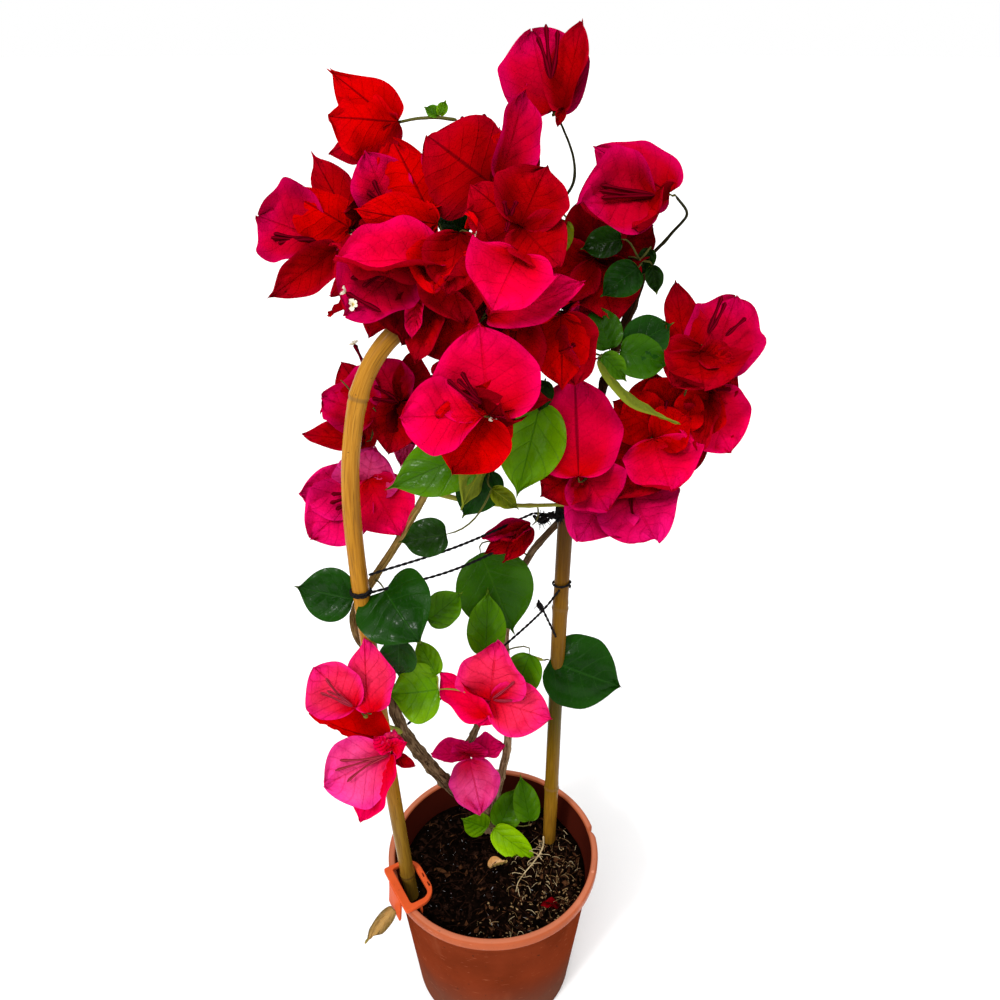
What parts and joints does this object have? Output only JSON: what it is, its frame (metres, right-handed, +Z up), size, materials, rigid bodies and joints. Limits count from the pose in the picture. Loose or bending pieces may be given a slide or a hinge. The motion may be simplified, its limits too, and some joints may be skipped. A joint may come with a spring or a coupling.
{
  "type": "potted bougainvillea bush on a cane hoop",
  "caption": "Bougainvillea bush with red and magenta bracts in a terracotta coloured nursery pot, trained and tied up a bent cane hoop.",
  "frame": {"origin": "centre of the pot's flat underside, on the surface it stands on", "axes": "+Z up the plant; -Y is the plant's front, +X its right as seen from the front"},
  "size_m": [0.251, 0.1526, 0.6428],
  "materials": {
    "pot_plastic": "satin",
    "soil": "matte",
    "clip_plastic": "satin",
    "cane": "satin",
    "tie_string": "matte",
    "bark": "matte",
    "green_stem": "satin",
    "leaf": "satin",
    "bract": "matte",
    "flower": "matte"
  },
  "bodies": {
    "root": {"bloom_back_left": "bract", "bloom_back_low": "bract", "bloom_back_right": "bract", "bloom_back_top": "bract", "bloom_big_front": "bract", "bloom_centre": "bract", "bloom_centre_low": "bract", "bloom_crown_front": "bract", "bloom_dark_right": "bract", "bloom_droop": "bract", "bloom_far_left": "bract", "bloom_left_foot": "bract", "bloom_left_high": "bract", "bloom_left_low": "bract", "bloom_left_mid": "bract", "bloom_low_centre": "bract", "bloom_low_left": "bract", "bloom_low_left_up": "bract", "bloom_low_small": "bract", "bloom_right": "bract", "bloom_right_foot": "bract", "bloom_right_low": "bract", "bloom_right_mid": "bract", "bloom_right_red": "bract", "bloom_right_top": "bract", "bloom_top": "bract", "bloom_upper_left": "bract", "green_branch": "green_stem", "hoop_bend_left": "cane", "hoop_bend_right": "cane", "hoop_leg_left": "cane", "hoop_leg_right": "cane", "leaf_core": "leaf", "leaf_front_right": "leaf", "leaf_left_in": "leaf", "leaf_left_out": "leaf", "leaf_low_right": "leaf", "leaf_low_yellow": "leaf", "leaf_middle": "leaf", "leaf_right": "leaf", "leaf_shoot": "leaf", "leaf_under_crown": "leaf", "left_bough": "bark", "left_stem": "bark", "low_left_branch": "green_stem", "low_right_branch": "green_stem", "middle_stem": "bark", "pot": "pot_plastic", "right_bough": "bark", "right_stem": "bark", "right_top_branch": "green_stem", "rim_clip": "clip_plastic", "soil": "soil", "tie_high": "tie_string", "tie_low": "tie_string", "tie_middle": "tie_string", "top_branch": "green_stem", "trunk": "bark", "upper_left_branch": "green_stem"}
  },
  "joints": []
}
